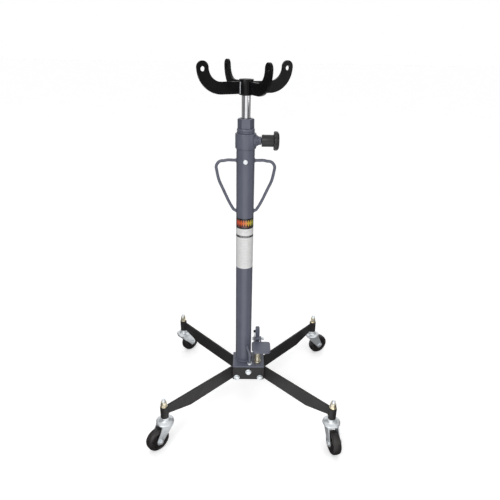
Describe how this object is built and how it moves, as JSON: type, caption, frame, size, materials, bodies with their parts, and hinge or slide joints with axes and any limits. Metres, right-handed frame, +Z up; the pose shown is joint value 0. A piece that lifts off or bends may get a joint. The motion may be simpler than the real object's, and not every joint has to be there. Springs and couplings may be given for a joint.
{
  "type": "telescopic floor jack",
  "caption": "Tall hydraulic floor jack: ram in a column with a swivelling four-armed saddle, lock knob, loop handles, foot pump and a four-legged caster base.",
  "frame": {"origin": "on the floor, under the centre of the footprint's box", "axes": "+Z up the column, +X to the side of the lock knob and pump pedal, -Y towards the operator"},
  "size_m": [0.649, 0.6122, 1.1405],
  "materials": {
    "grey_paint": "satin enamel",
    "black_paint": "satin powder coat",
    "black_gloss": "gloss enamel",
    "chrome": "polished",
    "zinc": "bright zinc plate",
    "yellow_zinc": "yellow zinc plate",
    "steel": "machined",
    "bronze": "machined",
    "black_plastic": "moulded",
    "tyre": "moulded"
  },
  "bodies": {
    "base": {"base_block": "grey_paint", "column_tube": "grey_paint", "tube_collar": "grey_paint", "gland_ring": "grey_paint", "gland_nut": "grey_paint", "handle_left": "grey_paint", "handle_right": "grey_paint", "pump_bracket": "grey_paint", "crossbar_front": "black_paint", "crossbar_rear": "black_paint", "leg_front_left": "black_paint", "leg_front_right": "black_paint", "leg_rear_right": "black_paint", "leg_rear_left": "black_paint", "hub_bolt_front_left": "zinc", "hub_bolt_front_centre": "zinc", "hub_bolt_front_right": "zinc", "hub_bolt_rear_left": "zinc", "hub_bolt_rear_centre": "zinc", "hub_bolt_rear_right": "zinc", "caster_stem_front_left": "zinc", "caster_stem_front_right": "zinc", "caster_stem_rear_right": "zinc", "caster_stem_rear_left": "zinc", "filler_plug": "zinc", "stem_nut_front_left": "yellow_zinc", "stem_nut_front_right": "yellow_zinc", "stem_nut_rear_right": "yellow_zinc", "stem_nut_rear_left": "yellow_zinc", "pump_barrel": "yellow_zinc", "pump_spring": "yellow_zinc", "cylinder_liner": "steel", "pedal_pin": "steel", "guide_bush": "bronze"},
    "ram": {"ram_rod": "chrome", "ram_piston": "bronze", "saddle_screw": "black_gloss"},
    "saddle": {"saddle_hub": "black_gloss", "saddle_arm_left": "black_gloss", "saddle_arm_front": "black_gloss", "saddle_arm_right": "black_gloss", "saddle_arm_rear": "black_gloss"},
    "lock_pad": {"lock_pad": "bronze"},
    "lock_knob": {"lock_knob": "black_plastic"},
    "pedal": {"foot_pedal": "grey_paint"},
    "plunger": {"pump_plunger": "zinc"},
    "release": {"release_lever": "grey_paint"},
    "fork_front_left": {"caster_fork_front_left": "zinc", "caster_axle_front_left": "zinc"},
    "wheel_front_left": {"caster_wheel_front_left": "tyre"},
    "fork_front_right": {"caster_fork_front_right": "zinc", "caster_axle_front_right": "zinc"},
    "wheel_front_right": {"caster_wheel_front_right": "tyre"},
    "fork_rear_right": {"caster_fork_rear_right": "zinc", "caster_axle_rear_right": "zinc"},
    "wheel_rear_right": {"caster_wheel_rear_right": "tyre"},
    "fork_rear_left": {"caster_fork_rear_left": "zinc", "caster_axle_rear_left": "zinc"},
    "wheel_rear_left": {"caster_wheel_rear_left": "tyre"}
  },
  "joints": [
    {"name": "ram_lift", "type": "slide", "parent": "base", "child": "ram", "axis": [0, 0, 1], "range_m": [0, 0.72]},
    {"name": "saddle_swivel", "type": "hinge", "parent": "ram", "child": "saddle", "pos_m": [-0.02297, 0.01513, 1.07], "axis": [0, 0, 1], "continuous": true},
    {"name": "lock_feed", "type": "slide", "parent": "base", "child": "lock_pad", "axis": [1, 0, 0], "range_m": [0, 0.0031]},
    {"name": "lock_turn", "type": "hinge", "parent": "lock_pad", "child": "lock_knob", "pos_m": [0.03703, 0.01513, 0.924], "axis": [1, 0, 0], "range_deg": [0, 720]},
    {"name": "pedal_press", "type": "hinge", "parent": "base", "child": "pedal", "pos_m": [0.02703, 0.04113, 0.212], "axis": [1, 0, 0], "range_deg": [0, 12], "stiffness_Nm_per_rad": 3, "springref_deg": -8.59},
    {"name": "plunger_stroke", "type": "slide", "parent": "base", "child": "plunger", "axis": [0, 0, -1], "range_m": [0, 0.0125], "deforming": ["pump_spring"]},
    {"name": "release_turn", "type": "hinge", "parent": "base", "child": "release", "pos_m": [-0.00047, -0.02487, 0.18], "axis": [0, 0, -1], "range_deg": [0, 40]},
    {"name": "caster_swivel_front_left", "type": "hinge", "parent": "base", "child": "fork_front_left", "pos_m": [-0.26798, -0.23737, 0.085], "axis": [0, 0, 1], "continuous": true},
    {"name": "wheel_roll_front_left", "type": "hinge", "parent": "fork_front_left", "child": "wheel_front_left", "pos_m": [-0.29138, -0.2592, 0.0375], "axis": [0.682, -0.7314, 0], "continuous": true},
    {"name": "caster_swivel_front_right", "type": "hinge", "parent": "base", "child": "fork_front_right", "pos_m": [0.25903, -0.23737, 0.085], "axis": [0, 0, 1], "continuous": true},
    {"name": "wheel_roll_front_right", "type": "hinge", "parent": "fork_front_right", "child": "wheel_front_right", "pos_m": [0.26622, -0.26855, 0.0375], "axis": [0.9744, 0.225, 0], "continuous": true},
    {"name": "caster_swivel_rear_right", "type": "hinge", "parent": "base", "child": "fork_rear_right", "pos_m": [0.25903, 0.24763, 0.085], "axis": [0, 0, 1], "continuous": true},
    {"name": "wheel_roll_rear_right", "type": "hinge", "parent": "fork_rear_right", "child": "wheel_rear_right", "pos_m": [0.28779, 0.26166, 0.0375], "axis": [-0.4384, 0.8988, 0], "continuous": true},
    {"name": "caster_swivel_rear_left", "type": "hinge", "parent": "base", "child": "fork_rear_left", "pos_m": [-0.26798, 0.24763, 0.085], "axis": [0, 0, 1], "continuous": true},
    {"name": "wheel_roll_rear_left", "type": "hinge", "parent": "fork_rear_left", "child": "wheel_rear_left", "pos_m": [-0.24741, 0.27214, 0.0375], "axis": [-0.766, 0.6428, 0], "continuous": true}
  ],
  "couplings": [
    {"joint": "lock_feed", "follows": "lock_turn", "m_per_rad": 0.00023873},
    {"joint": "plunger_stroke", "follows": "pedal_press", "m_per_rad": 0.058}
  ]
}
